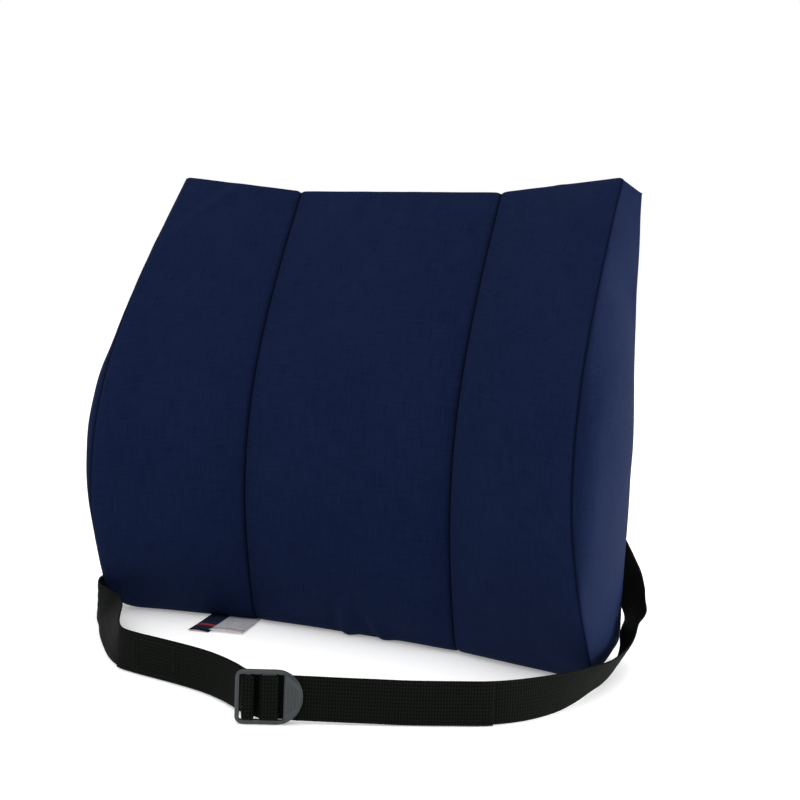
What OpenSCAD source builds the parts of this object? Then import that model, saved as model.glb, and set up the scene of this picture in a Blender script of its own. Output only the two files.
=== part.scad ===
// Lumbar support cushion with a washable zipped cover and an adjustable webbing strap.
// Millimetres. +X is the sitter's left as seen from the front, the front faces -Y and +Z is up.
// The origin is on the underside, on the centre line, back_y in front of the flat back.

/* [Cushion] */
// Width across the two back edges
back_w = 354; // [320:2:380]
// Width across the side seams at the underside
base_w = 374; // [356:2:390]
// Width across the side seams level with the lumbar crest
crest_w = 356; // [340:2:372]
// Width across the side seams at the top
top_w = 340; // [320:2:356]
// Height of the top corners
cushion_h = 322; // [300:1:340]
// How far the top edge dips between the corners
top_dip = 9; // [0:1:16]
// Fall of the narrow top from the front crest to the back
top_fall = 8; // [4:1:12]
// Height of the lumbar crest
crest_z = 115; // [100:1:140]
// Distance from the origin back to the flat back
back_y = 35; // [25:1:45]

/* [Depths] */
// Depth of the side seams at the underside, at the crest and at the top
side_base_d = 83; // [66:1:86]
// Depth of the side seams at the lumbar crest
side_crest_d = 121; // [105:1:130]
// Depth of the side seams at the top
side_top_d = 24; // [18:1:30]
// Depth of the centre panel at the underside
mid_base_d = 56; // [48:1:64]
// Depth of the centre panel at the lumbar crest
mid_crest_d = 75; // [65:1:90]
// Depth of the centre panel at the top
mid_top_d = 8; // [6:1:14]
// How far the back bows out at the top, on the centre line
back_bow = 10; // [0:1:14]
// Radius of the lower edges at the side seams
side_round = 18; // [10:1:24]
// Radius of the lower front edge on the centre panel
mid_round = 10; // [4:1:14]

/* [Cover] */
// Width of the centre front panel between its seams
centre_w = 158; // [140:2:180]
// Thickness of the cover cloth
cloth_t = 1.2; // [0.8:0.1:1.6]
// Ease between the cloth and the foam
cloth_gap = 0.4; // [0.1:0.1:0.6]

/* [Zip] */
// Height of the zip chain above the underside
zip_z = 60; // [45:1:90]
// Half of the gap that the two tapes fill between the back panels
zip_gap = 10; // [8:0.5:14]
// Half of the length of the zip chain
chain_half = 150; // [120:1:160]
// Width of the meshed teeth
teeth_w = 5; // [4:0.5:6]
// Pitch of the teeth on one tape
tooth_pitch = 3; // [2.5:0.5:5]

/* [Strap] */
// Width of the webbing
web_w = 25.4; // [20:0.1:30]
// Thickness of the webbing
web_t = 1.6; // [1.2:0.1:2]
// Distance of each strap anchor from the centre line
anchor_x = 160; // [140:1:165]
// Height where the straps leave their anchors
anchor_z = 92; // [80:1:100]
// Length of each sewn anchor tab
anchor_l = 24; // [18:1:30]

/* [Buckle] */
// Length of the ladder buckle along the webbing
buckle_l = 38; // [36:1:40]
// Height of the ladder buckle across the webbing
buckle_h = 31; // [30:0.5:34]
// Thickness of its bars and rails
buckle_t = 3; // [2.5:0.1:3.5]
// Angle between the buckle and the X axis, seen from above
buckle_turn = 28; // [26:1:30]

/* [Hidden] */
$fn = 32;

// How finely the cover is cut: levels from the underside to the top, and columns in one panel.
round_share = 0.042;
round_levels = [0, 0.008, 0.022, round_share];
even_levels = 18;
levels = concat(
    round_levels,
    [for (i = [1:even_levels]) mix(round_share, 1, i / even_levels)]);
wing_columns = 5;
centre_columns = 6;
back_columns = 12;

navy = [0.09, 0.14, 0.29];
black = [0.08, 0.085, 0.085];
slate = [0.2, 0.24, 0.26];

// ---------- Shape of the cushion ----------

function mix(a, b, t) = a + (b - a) * t;

// A depth that swells from the underside to the crest and falls away to the top.
function swell(z, base, crest, top) = z < crest_z
    ? base + (crest - base) * sin(90 * z / crest_z)
    : top + (crest - top) * cos(90 * (z - crest_z) / (cushion_h - crest_z));

// How far an edge of radius r has turned in from its upright face at height z.
function tuck(z, r) = z < r ? r - sqrt(r * r - (r - z) * (r - z)) : 0;

function half_w(z) = z < crest_z
    ? mix(base_w, crest_w, z / crest_z) / 2 - tuck(z, side_round)
    : mix(crest_w, top_w, (z - crest_z) / (cushion_h - crest_z)) / 2;

function back_half_w(z) = back_w / 2 - tuck(z, side_round);

// 0 on the centre panel, rising to 1 at the side seam.
function wing(x, z) = max(0, (abs(x) - centre_w / 2) / (half_w(z) - centre_w / 2));

function depth(x, z) = mix(
    swell(z, mid_base_d, mid_crest_d, mid_top_d) - tuck(z, mid_round),
    swell(z, side_base_d, side_crest_d, side_top_d) - tuck(z, side_round),
    wing(x, z));

function top_z(x) = cushion_h - top_dip * (1 - min(1, wing(x, cushion_h)));

// The back is flat up to the shoulders and bows out above them.
function bow(x, z) = back_bow * (1 - pow(2 * x / back_w, 2))
    * pow(max(0, (z - crest_z) / (cushion_h - crest_z)), 2);

// A point on the front, inset by skin. v runs from 0 at the underside to 1 at the crest of the top.
function front_point(x, v, skin) = [
    x,
    back_y - depth(x, v * cushion_h) + skin,
    v * top_z(x) - (v == 1 ? skin : 0)];

// A point on the back edge of the narrow top, behind the point x on its front edge.
function ridge_point(x, skin) = let (back_x = x * back_w / top_w) [
    back_x,
    back_y + bow(back_x, cushion_h) - skin,
    top_z(x) - top_fall - skin / 2];

// The column of points from the underside, up the front and over the top.
function front_column(x_at, skin) = concat(
    [for (v = levels) front_point(x_at(v, skin), v, skin)],
    [ridge_point(x_at(1, skin), skin)]);

// ---------- Meshes from grids ----------

function turned(faces) = [for (f = faces) [for (i = [len(f) - 1:-1:0]) f[i]]];

// Faces of a closed slab between two grids of the same size, each n columns of m points.
function slab_faces(n, m) = let (far = n * m) concat(
    [for (i = [0:n - 2], j = [0:m - 2]) [i * m + j, (i + 1) * m + j, (i + 1) * m + j + 1]],
    [for (i = [0:n - 2], j = [0:m - 2]) [i * m + j, (i + 1) * m + j + 1, i * m + j + 1]],
    [for (i = [0:n - 2], j = [0:m - 2])
        [far + i * m + j, far + (i + 1) * m + j + 1, far + (i + 1) * m + j]],
    [for (i = [0:n - 2], j = [0:m - 2]) [far + i * m + j, far + i * m + j + 1, far + (i + 1) * m + j + 1]],
    [for (i = [0:n - 2], s = [0, 1]) let (a = i * m, b = (i + 1) * m)
        s == 0 ? [a, far + a, far + b] : [a, far + b, b]],
    [for (i = [0:n - 2], s = [0, 1]) let (a = i * m + m - 1, b = (i + 1) * m + m - 1)
        s == 0 ? [a, b, far + b] : [a, far + b, far + a]],
    [for (j = [0:m - 2], s = [0, 1]) s == 0 ? [j, j + 1, far + j + 1] : [j, far + j + 1, far + j]],
    [for (j = [0:m - 2], s = [0, 1]) let (a = (n - 1) * m + j)
        s == 0 ? [a, far + a, far + a + 1] : [a, far + a + 1, a + 1]]);

// A closed slab whose two sides are lists of columns of points.
module slab(outer, inner) {
    polyhedron(
        points = concat([for (c = outer) each c], [for (c = inner) each c]),
        faces = turned(slab_faces(len(outer), len(outer[0]))));
}

// ---------- Foam ----------

// Columns across the whole front, with one on each panel seam; w is the half width there.
function across(w) = concat(
    [for (i = [0:wing_columns]) mix(-w, -centre_w / 2, i / wing_columns)],
    [for (i = [1:centre_columns - 1]) mix(-centre_w / 2, centre_w / 2, i / centre_columns)],
    [for (i = [0:wing_columns]) mix(centre_w / 2, w, i / wing_columns)]);

// A point inside the back; x is the matching place on the front.
function back_point(x, v, skin) = let (
    z = v * cushion_h,
    back_x = x * (back_half_w(z) - skin) / (half_w(z) - skin))
    [back_x, back_y + bow(back_x, z) - skin, v * (top_z(x) - top_fall)];

module foam_core() {
    skin = cloth_t + cloth_gap;
    columns = 2 * wing_columns + centre_columns;
    lift = function (v) skin * (1 - v) - (v == 1 ? skin : 0);
    front = [for (i = [0:columns]) [for (v = levels)
        front_point(across(half_w(v * cushion_h) - skin)[i], v, skin)
            + [0, 0, v == 1 ? 0 : lift(v)]]];
    back = [for (i = [0:columns]) [for (v = levels)
        back_point(across(half_w(v * cushion_h) - skin)[i], v, skin) + [0, 0, lift(v)]]];
    color("lightyellow")
    slab(front, back);
}

// ---------- Cover panels ----------

// How far a panel stops short of the one that it is sewn behind.
lap = 2.2;

module cover_front_centre() {
    half = centre_w / 2;
    grid = function (skin) [for (i = [0:centre_columns])
        front_column(function (v, s) mix(-half, half, i / centre_columns), skin)];
    color(navy)
    slab(grid(0), grid(cloth_t));
}

// The wing on the right.
module front_wing() {
    grid = function (skin) [for (i = [0:wing_columns])
        front_column(function (v, s)
            mix(centre_w / 2, half_w(v * cushion_h) - s, i / wing_columns), skin)];
    color(navy)
    slab(grid(0), grid(cloth_t));
}

module cover_front_left() {
    mirror([1, 0, 0])
    front_wing();
}

module cover_front_right() {
    front_wing();
}

// The right gusset, from behind the front seam to the back edge.
module gusset() {
    grid = function (skin) [
        [for (v = levels) let (z = v * cushion_h)
            [half_w(z) - skin, back_y - depth(half_w(z), z) + lap, z - (v == 1 ? lap : 0)]],
        [for (v = levels)
            [back_half_w(v * cushion_h) - skin, back_y - skin,
                v * (cushion_h - top_fall) - (v == 1 ? lap : 0)]]];
    color(navy)
    slab(grid(0), grid(cloth_t));
}

module cover_side_left() {
    mirror([1, 0, 0])
    gusset();
}

module cover_side_right() {
    gusset();
}

// Rows of the upper back panel, and levels of the lower one, closer where its corners are round.
upper_rows = 12;
lower_steps = [0, 0.05, 0.12, 0.2, 0.6, 1];

// A back panel between two heights; the upper one reaches the ridge of the top.
module back_panel(z0, z1, to_ridge) {
    steps = to_ridge ? [for (j = [0:upper_rows]) j / upper_rows] : lower_steps;
    top_at = function (x) to_ridge ? top_z(x) - top_fall - lap : z1;
    grid = function (skin) [for (i = [0:back_columns])
        [for (t = steps)
            let (
                z = mix(z0, to_ridge ? cushion_h : z1, t),
                x = (back_half_w(z) - skin) * (1 - 2 * i / back_columns))
            [x, back_y + bow(x, z) - skin, mix(z0, top_at(x), t)]]];
    color(navy)
    slab(grid(0), grid(cloth_t));
}

module cover_back_upper() {
    back_panel(zip_z + zip_gap, cushion_h, true);
}

module cover_back_lower() {
    back_panel(0, zip_z - zip_gap, false);
}

module cover_base() {
    inset = cloth_t + cloth_gap;
    front_half = half_w(0) - inset;
    back_half = back_half_w(0) - inset;
    front_x = [-front_half, -centre_w / 2, centre_w / 2, front_half];
    color(navy)
    linear_extrude(cloth_t)
    polygon(concat(
        [for (x = front_x) [x, back_y - depth(x, 0) + inset]],
        [[back_half, back_y - inset], [-back_half, back_y - inset]]));
}

// ---------- Zip ----------

tape_t = 0.8;
tape_y = back_y - 1;
teeth_t = 1.5;
teeth_y = back_y - 1.2;
slit = 0.1;

// Lays a shape drawn in X and Z, growing towards +Y from y.
module upright(y, t) {
    translate([0, y + t, 0])
    rotate([90, 0, 0])
    linear_extrude(t)
    children();
}

// One tape, drawn for the upper side; it meets its partner past the ends of the chain.
module tape(up) {
    end_x = back_w / 2 - cloth_t - slit;
    clear = teeth_w / 2 + slit;
    color(black)
    upright(tape_y, tape_t)
    polygon([
        [-end_x, zip_z + up * (zip_gap - slit)],
        [-end_x, zip_z + up * slit],
        [-chain_half - 1, zip_z + up * slit],
        [-chain_half - 1, zip_z + up * clear],
        [chain_half + 1, zip_z + up * clear],
        [chain_half + 1, zip_z + up * slit],
        [end_x, zip_z + up * slit],
        [end_x, zip_z + up * (zip_gap - slit)]]);
}

module zip_tape_upper() {
    tape(1);
}

module zip_tape_lower() {
    tape(-1);
}

// A comb of teeth along one tape; the lower comb is half a pitch along.
module teeth(up) {
    back_edge = teeth_w / 2;
    root = 0.9;
    reach = -0.7;
    shift = up > 0 ? 0 : tooth_pitch / 2;
    count = floor(2 * chain_half / tooth_pitch) - 1;
    tooth = tooth_pitch / 2 - 0.2;
    color("dimgray")
    upright(teeth_y, teeth_t)
    polygon(concat(
        [[chain_half, zip_z + up * back_edge], [-chain_half, zip_z + up * back_edge]],
        [[-chain_half, zip_z + up * root]],
        [for (i = [0:count - 1]) let (x = -chain_half + shift + i * tooth_pitch + 0.2) each [
            [x, zip_z + up * root],
            [x, zip_z + up * reach],
            [x + tooth, zip_z + up * reach],
            [x + tooth, zip_z + up * root]]],
        [[chain_half, zip_z + up * root]]));
}

module zip_teeth_upper() {
    teeth(1);
}

module zip_teeth_lower() {
    teeth(-1);
}

module zip_stops() {
    color("silver")
    for (end = [-1, 1]) {
        upright(tape_y + tape_t, 1)
        translate([end * (chain_half + 2.6) - 1.2, zip_z - teeth_w / 2])
        square([2.4, teeth_w]);
    }
}

slider_x = chain_half - 12;
slider_l = 12;
slider_w = 9;
plate_y = back_y + 0.8;
plate_t = 1.4;
pivot_y = back_y + 3.6;
bridge_x = 4;
bridge_t = 1.1;

// The slider's outer body: a plate with side flanges over the chain, and the bridge for the pull.
module zip_slider() {
    color("silver") {
        upright(plate_y, plate_t)
        polygon([
            [slider_x - slider_l / 2, zip_z - slider_w / 2 + 1.5],
            [slider_x - slider_l / 2, zip_z + slider_w / 2 - 1.5],
            [slider_x + slider_l / 2 - 3, zip_z + slider_w / 2],
            [slider_x + slider_l / 2, zip_z + 2],
            [slider_x + slider_l / 2, zip_z - 2],
            [slider_x + slider_l / 2 - 3, zip_z - slider_w / 2]]);
        for (end = [-1, 1]) {
            translate([slider_x + end * bridge_x - bridge_t / 2, plate_y + plate_t - 0.1, zip_z - bridge_t])
            cube([bridge_t, pivot_y + 2.4 - plate_y - plate_t, 2 * bridge_t]);
        }
        translate([slider_x - bridge_x - bridge_t / 2, pivot_y + 1.4, zip_z - bridge_t])
        cube([2 * bridge_x + bridge_t, 1.1, 2 * bridge_t]);
    }
}

// The pull: a pin under the bridge, two arms beside it and a long tab with rounded corners.
module zip_pull() {
    tab_l = 26;
    tab_w = 7.6;
    window_l = 5.6;
    window_w = 3.4;
    pin_r = 0.7;
    color("silver") {
        translate([slider_x, pivot_y, zip_z - tab_w / 2])
        cylinder(r = pin_r, h = tab_w);
        upright(pivot_y - 0.5, 1)
        difference() {
            translate([slider_x - tab_l, zip_z - tab_w / 2])
            square([tab_l, tab_w]);
            translate([slider_x - window_l, zip_z - window_w / 2])
            square([window_l + 1, window_w]);
            translate([slider_x - tab_l + 4, zip_z])
            circle(r = 1.5);
            for (side = [-1, 1]) {
                translate([slider_x - tab_l - 1, zip_z + side * (tab_w / 2 - 0.6) - 0.7])
                square([2, 1.4]);
            }
        }
    }
}

// ---------- Tags sewn into the lower front edge ----------

tag_t = 0.4;
tag_turn = 14;

// A tag on the ground, turned about its front left corner.
module tag(corner, width, length) {
    translate(corner)
    rotate([0, 0, tag_turn])
    cube([width, length, tag_t]);
}

module care_tag() {
    color("gainsboro")
    tag([-90.5, -62.5, 0.5], 24, 46);
}

module label_tag() {
    color(navy)
    tag([-105, -67, 0], 15, 50);
}

// ---------- Strap ----------

function unit(a) = a / norm(a);

// Where a smooth curve through four points is, t of the way from the second to the third.
function curve(a, b, c, d, t) = 0.5 * (2 * b + (c - a) * t + (2 * a - 5 * b + 4 * c - d) * t * t
    + (3 * b - 3 * c + d - a) * t * t * t);

// A place on a route of [point, direction of the width], s points along it.
function place(route, s) = let (
    last = len(route) - 1,
    i = min(floor(s), last - 1),
    t = s - i,
    a = route[max(i - 1, 0)],
    d = route[min(i + 2, last)])
    [curve(a[0], route[i][0], route[i + 1][0], d[0], t), mix(route[i][1], route[i + 1][1], t)];

// Places every 1/3 of a point from s0 to s1.
function stretch(route, s0, s1) = [for (k = [3 * s0:3 * s1]) place(route, k / 3)];

// The four corners of the band at place i; lift moves it off its route on the outer face.
function band_ring(path, i, lift, width, thick) = let (
    t = unit(path[min(i + 1, len(path) - 1)][0] - path[max(i - 1, 0)][0]),
    w0 = path[i][1],
    w = unit(w0 - (w0 * t) * t) * width / 2,
    n = cross(t, unit(w)),
    h = n * thick / 2,
    p = path[i][0] + n * lift)
    [p - w - h, p + w - h, p + w + h, p - w + h];

// A flat band swept along a path.
module band(path, lift = 0, width = web_w, thick = web_t) {
    n = len(path);
    polyhedron(
        points = [for (i = [0:n - 1]) each band_ring(path, i, lift, width, thick)],
        faces = turned(concat(
            [for (i = [0:n - 2], j = [0:3]) let (k = (j + 1) % 4) [4 * i + j, 4 * i + k, 4 * i + 4 + k]],
            [for (i = [0:n - 2], j = [0:3]) let (k = (j + 1) % 4)
                [4 * i + j, 4 * i + 4 + k, 4 * i + 4 + j]],
            [[3, 2, 1, 0]],
            [[for (j = [0:3]) 4 * (n - 1) + j]])));
}

// Routes run from the buckle outwards; each point has the direction of the webbing's width.
right_route = [
    [[43.5, -210, 14.4], [0, 0, 1]], [[60.1, -201, 14.2], [0, 0, 1]], [[80, -190.8, 13.8], [0, 0, 1]],
    [[98, -181.4, 13.5], [0, 0, 1]], [[117, -170.8, 13], [0, 0, 1]], [[137, -159, 13], [0, 0, 1]],
    [[157, -146, 13], [0, 0, 1]], [[172, -128.5, 13.1], [0.05, 0, 1]], [[183, -105, 12.9], [0.2, 0, 0.97]],
    [[189, -80, 12.5], [0.38, 0, 0.92]], [[191.5, -58, 12], [0.5, 0, 0.86]],
    [[192.5, -36, 12], [0.5, -0.05, 0.84]], [[192, -14, 13.5], [0.5, -0.2, 0.8]],
    [[190.5, 3, 17.5], [0.5, -0.5, 0.6]], [[188.5, 17, 24.5], [0.5, -0.8, 0.2]],
    [[187.2, 31, 33], [0.6, -0.8, -0.05]], [[182.5, 38.8, 43], [0.85, -0.5, -0.05]],
    [[176, 42, 54], [0.98, -0.1, 0]], [[169, 42.5, 66], [1, 0, 0.05]], [[162, 42.3, 78.5], [1, 0, 0.02]],
    [[160.1, 39.8, 87], [1, 0, 0]], [[160, 38.4, 91.2], [1, 0, 0]]];
left_route = [
    [[42.7, -211, 14.4], [0, 0, -1]], [[29, -204.8, 14.2], [0, 0, -1]], [[16, -196, 13.8], [0, 0, -1]],
    [[1, -187.6, 13.4], [0, 0, -1]], [[-15, -181.2, 13.2], [0, 0, -1]], [[-34, -176.4, 13], [0, 0, -1]],
    [[-54, -173, 13], [0, 0, -1]], [[-72, -170.2, 13], [0, 0, -1]],
    [[-88, -165.4, 13], [-0.03, -0.03, -1]], [[-103, -153, 13], [-0.15, -0.15, -0.97]],
    [[-120, -133.5, 13], [-0.3, -0.28, -0.9]], [[-137, -112.5, 12.6], [-0.45, -0.35, -0.8]],
    [[-153, -93, 12.4], [-0.48, -0.33, -0.8]], [[-167, -82.5, 12.8], [-0.25, -0.15, -0.95]],
    [[-180, -71, 13], [0, 0, -1]], [[-192, -48, 13.2], [0.12, 0.05, -1]],
    [[-192.5, -20, 14.5], [0.1, 0, -1]], [[-192.5, 6, 17.5], [0.25, 0, -0.95]],
    [[-191.5, 28, 25], [0.55, -0.2, -0.7]], [[-186, 40.4, 36], [0.95, 0.15, -0.5]],
    [[-177, 42, 50], [1, 0.03, -0.4]], [[-169, 42.5, 64], [1, 0, -0.1]], [[-162, 42.3, 78], [1, 0, -0.02]],
    [[-160.1, 39.8, 87], [1, 0, 0]], [[-160, 38.4, 91.2], [1, 0, 0]]];
layer = web_t + 0.3;
fold_end = 8;
tail_end = 6;

module strap_right() {
    color(black)
    band(stretch(right_route, 0, len(right_route) - 1));
}

// The free end of the right webbing: over the second bar and back along the outer face.
module strap_right_tail() {
    color(black) {
        band(stretch(right_route, 1, tail_end), layer);
        wrap(bars[1]);
    }
}

module strap_left() {
    color(black)
    band(stretch(left_route, 0, len(left_route) - 1));
}

// The end of the left webbing: over the first bar, turned back and sewn to the strap.
module strap_left_fold() {
    color(black) {
        band(stretch(left_route, 1, fold_end), layer);
        wrap(bars[0]);
    }
}

// Rows of thread across the fold, standing on its outer face.
module fold_stitching() {
    thread_t = 0.5;
    color("black")
    for (row = [0:4]) {
        band(
            [place(left_route, 5.2 + 0.35 * row), place(left_route, 5.24 + 0.35 * row)],
            layer + web_t / 2 + thread_t / 2 + 0.05,
            width = web_w - 7,
            thick = thread_t);
    }
}

// A tab of webbing sewn flat to the back, above the place where the strap leaves it.
module anchor_tab(side) {
    color(black)
    translate([side * anchor_x - web_w / 2, back_y + 0.1, anchor_z + 0.4])
    cube([web_w, web_t, anchor_l]);
}

module strap_anchor_left() {
    anchor_tab(-1);
}

module strap_anchor_right() {
    anchor_tab(1);
}

// Two rows of bar tack on each tab.
module anchor_bar_tacks() {
    color("black")
    for (side = [-1, 1], row = [5, anchor_l - 4]) {
        translate([side * anchor_x - web_w / 2 + 2, back_y + web_t + 0.1, anchor_z + row])
        cube([web_w - 4, 0.5, 2]);
    }
}

// ---------- Ladder buckle ----------

buckle_at = [49, -212, buckle_h / 2];
corner_r = 4.5;
// Left and right edge of each bar, measured along the buckle from its middle.
bars = [[-13.5, -10.1], [-3.6, 3.7]];
slot_h = web_w + 0.5;
first_slot_x = -16.6;
grip_x = 8.1;
grip_t = 1;
bite = 0.2;

// One quarter of an ellipse with its centre at c, starting at angle a.
function quarter(c, rx, ry, a) = [for (i = [0:8]) c + [rx * cos(a + i * 11.25), ry * sin(a + i * 11.25)]];

// Puts shapes drawn along the buckle in X and up it in Y in place, with Z towards the front.
module on_buckle() {
    translate(buckle_at)
    rotate([0, 0, buckle_turn])
    rotate([90, 0, 0])
    children();
}

module buckle_outline() {
    h = buckle_h / 2;
    l = buckle_l / 2;
    bow_l = 15;
    polygon(concat(
        quarter([corner_r - l, h - corner_r], corner_r, corner_r, 90),
        quarter([corner_r - l, corner_r - h], corner_r, corner_r, 180),
        quarter([l - bow_l, 0], bow_l, h, 270),
        quarter([l - bow_l, 0], bow_l, h, 0)));
}

module slot(x0, x1) {
    translate([x0, -slot_h / 2])
    square([x1 - x0, slot_h]);
}

module buckle() {
    color(slate)
    on_buckle() {
        translate([0, 0, -buckle_t / 2])
        linear_extrude(buckle_t)
        difference() {
            buckle_outline();
            slot(first_slot_x, bars[0][0]);
            slot(bars[0][1], bars[1][0]);
            slot(bars[1][1], grip_x);
        }
        translate([0, 0, buckle_t / 2 - bite])
        linear_extrude(grip_t + bite)
        intersection() {
            buckle_outline();
            translate([grip_x + bite, -buckle_h / 2])
            square([buckle_l / 2 - grip_x, buckle_h]);
        }
    }
}

// The webbing that goes up one side of a bar, over its front and down the other side.
module wrap(bar) {
    ease = 0.3;
    leg = 0.8;
    outer = [bar[0] - ease - web_t, bar[1] + ease + web_t];
    front = buckle_t / 2 + ease + web_t;
    on_buckle()
    rotate([90, 0, 0])
    translate([0, 0, -web_w / 2 + 0.5])
    linear_extrude(web_w - 1)
    polygon([
        [outer[0], -buckle_t / 2 - leg],
        [outer[0], front - web_t],
        [outer[0] + web_t, front],
        [outer[1] - web_t, front],
        [outer[1], front - web_t],
        [outer[1], -buckle_t / 2 - leg],
        [outer[1] - web_t, -buckle_t / 2 - leg],
        [outer[1] - web_t, front - web_t],
        [outer[0] + web_t, front - web_t],
        [outer[0] + web_t, -buckle_t / 2 - leg]]);
}

// ---------- Assembly ----------

foam_core();
cover_front_centre();
cover_front_left();
cover_front_right();
cover_side_left();
cover_side_right();
cover_back_upper();
cover_back_lower();
cover_base();
zip_tape_upper();
zip_tape_lower();
zip_teeth_upper();
zip_teeth_lower();
zip_stops();
zip_slider();
zip_pull();
care_tag();
label_tag();
strap_anchor_left();
strap_anchor_right();
anchor_bar_tacks();
strap_left();
strap_left_fold();
fold_stitching();
strap_right();
strap_right_tail();
buckle();
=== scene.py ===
"""Looks of the lumbar support cushion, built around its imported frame."""

import logging
import math
from dataclasses import dataclass, field
from enum import Enum

import bpy
import numpy as np
from mathutils import Matrix, Vector


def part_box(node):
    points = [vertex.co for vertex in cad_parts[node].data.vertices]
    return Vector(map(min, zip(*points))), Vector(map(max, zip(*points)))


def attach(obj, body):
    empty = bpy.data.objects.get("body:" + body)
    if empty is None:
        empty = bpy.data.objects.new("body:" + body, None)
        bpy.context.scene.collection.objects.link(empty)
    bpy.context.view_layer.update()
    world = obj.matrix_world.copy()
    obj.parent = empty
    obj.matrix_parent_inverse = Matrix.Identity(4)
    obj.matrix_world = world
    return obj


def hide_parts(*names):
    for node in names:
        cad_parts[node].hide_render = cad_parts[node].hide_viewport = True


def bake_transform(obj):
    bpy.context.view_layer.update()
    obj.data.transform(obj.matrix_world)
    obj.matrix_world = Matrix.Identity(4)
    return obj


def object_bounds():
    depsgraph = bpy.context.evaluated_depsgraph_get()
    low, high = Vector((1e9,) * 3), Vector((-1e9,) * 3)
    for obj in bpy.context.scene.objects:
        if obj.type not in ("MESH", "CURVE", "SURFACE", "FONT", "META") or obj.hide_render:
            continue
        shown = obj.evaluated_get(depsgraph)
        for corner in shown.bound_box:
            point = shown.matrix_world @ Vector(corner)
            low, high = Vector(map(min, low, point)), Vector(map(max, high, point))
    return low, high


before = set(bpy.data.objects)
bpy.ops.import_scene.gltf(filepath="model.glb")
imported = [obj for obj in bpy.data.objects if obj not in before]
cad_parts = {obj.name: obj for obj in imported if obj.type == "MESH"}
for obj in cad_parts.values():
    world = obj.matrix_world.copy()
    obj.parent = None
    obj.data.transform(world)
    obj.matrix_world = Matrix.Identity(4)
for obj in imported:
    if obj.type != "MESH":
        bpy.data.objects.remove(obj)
CAD_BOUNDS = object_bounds()
MM = 0.001
log = logging.getLogger("lumbar_cushion")


# ---------------------------------------------------------------- finishes


class NodeSheet:
    """A material's node tree with short ways to add and join nodes."""

    def __init__(self, name: str) -> None:
        """Starts an empty material of that name.

        Args:
            name: the material's name.
        """
        self.material = bpy.data.materials.new(name)
        self.material.use_nodes = True
        self.tree = self.material.node_tree
        self.tree.nodes.clear()
        self.shader = self.add("ShaderNodeBsdfPrincipled")
        output = self.add("ShaderNodeOutputMaterial")
        self.join(self.shader.outputs["BSDF"], output.inputs["Surface"])

    def add(self, kind: str, **settings: object) -> bpy.types.Node:
        """Adds a node and sets its properties.

        Args:
            kind: the node's type name.
            settings: its properties.

        Returns:
            The node.
        """
        node = self.tree.nodes.new(kind)
        for key, value in settings.items():
            setattr(node, key, value)
        return node

    def join(self, source: bpy.types.NodeSocket, target: bpy.types.NodeSocket) -> None:
        """Links two sockets."""
        self.tree.links.new(source, target)

    def math(self, how: str, a: object, b: object = 0.0) -> bpy.types.NodeSocket:
        """Adds a Math node on two inputs.

        Args:
            how: the operation, such as MULTIPLY.
            a: a number or a socket.
            b: a number or a socket.

        Returns:
            The result's socket.
        """
        node = self.add("ShaderNodeMath", operation=how)
        for slot, value in zip(node.inputs, (a, b)):
            if isinstance(value, (int, float)):
                slot.default_value = value
            else:
                self.join(value, slot)
        return node.outputs[0]

    def blend(self, share: object, a: tuple, b: object) -> bpy.types.NodeSocket:
        """Mixes colour b over colour a.

        Args:
            share: how much of b, a number or a socket.
            a: a colour or a socket.
            b: a colour or a socket.

        Returns:
            The colour's socket.
        """
        node = self.add("ShaderNodeMix", data_type="RGBA")
        for index, value in ((0, share), (6, a), (7, b)):
            if isinstance(value, (int, float)):
                node.inputs[index].default_value = value
            elif isinstance(value, tuple):
                node.inputs[index].default_value = (*value, 1.0)
            else:
                self.join(value, node.inputs[index])
        return node.outputs[2]

    def noise(self, vector: bpy.types.NodeSocket, scale: float, detail: float) -> bpy.types.NodeSocket:
        """Adds a noise texture and returns its value.

        Args:
            vector: where to read it.
            scale: how fine it is.
            detail: how many octaves it has.

        Returns:
            The noise, about 0 to 1.
        """
        node = self.add("ShaderNodeTexNoise")
        node.inputs["Scale"].default_value = scale
        node.inputs["Detail"].default_value = detail
        self.join(vector, node.inputs["Vector"])
        return node.outputs["Fac"]

    def scaled(self, vector: bpy.types.NodeSocket, scale: tuple) -> bpy.types.NodeSocket:
        """Stretches coordinates by a scale for each axis.

        Args:
            vector: the vector.
            scale: its three factors.

        Returns:
            The scaled vector.
        """
        node = self.add("ShaderNodeMapping")
        node.inputs["Scale"].default_value = scale
        self.join(vector, node.inputs["Vector"])
        return node.outputs[0]

    def ramp(self, value: bpy.types.NodeSocket, low: float, high: float) -> bpy.types.NodeSocket:
        """Maps a value from low..high to 0..1 and clamps it.

        Args:
            value: the value.
            low: where it gives 0.
            high: where it gives 1.

        Returns:
            The share, kept between 0 and 1.
        """
        node = self.add("ShaderNodeMapRange")
        node.inputs["From Min"].default_value = low
        node.inputs["From Max"].default_value = high
        self.join(value, node.inputs["Value"])
        return node.outputs[0]

    def bump(self, height: bpy.types.NodeSocket, distance: float, strength: float) -> None:
        """Gives the shader a bump from a height.

        Args:
            height: the relief, in its own units.
            distance: metres for one unit.
            strength: how much of it shows.
        """
        node = self.add("ShaderNodeBump")
        node.inputs["Distance"].default_value = distance
        node.inputs["Strength"].default_value = strength
        self.join(height, node.inputs["Height"])
        self.join(node.outputs[0], self.shader.inputs["Normal"])

    def set(self, **values: object) -> None:
        """Sets the shader's own sockets, named with underscores for spaces."""
        for key, value in values.items():
            self.shader.inputs[key.replace("_", " ")].default_value = value


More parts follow.
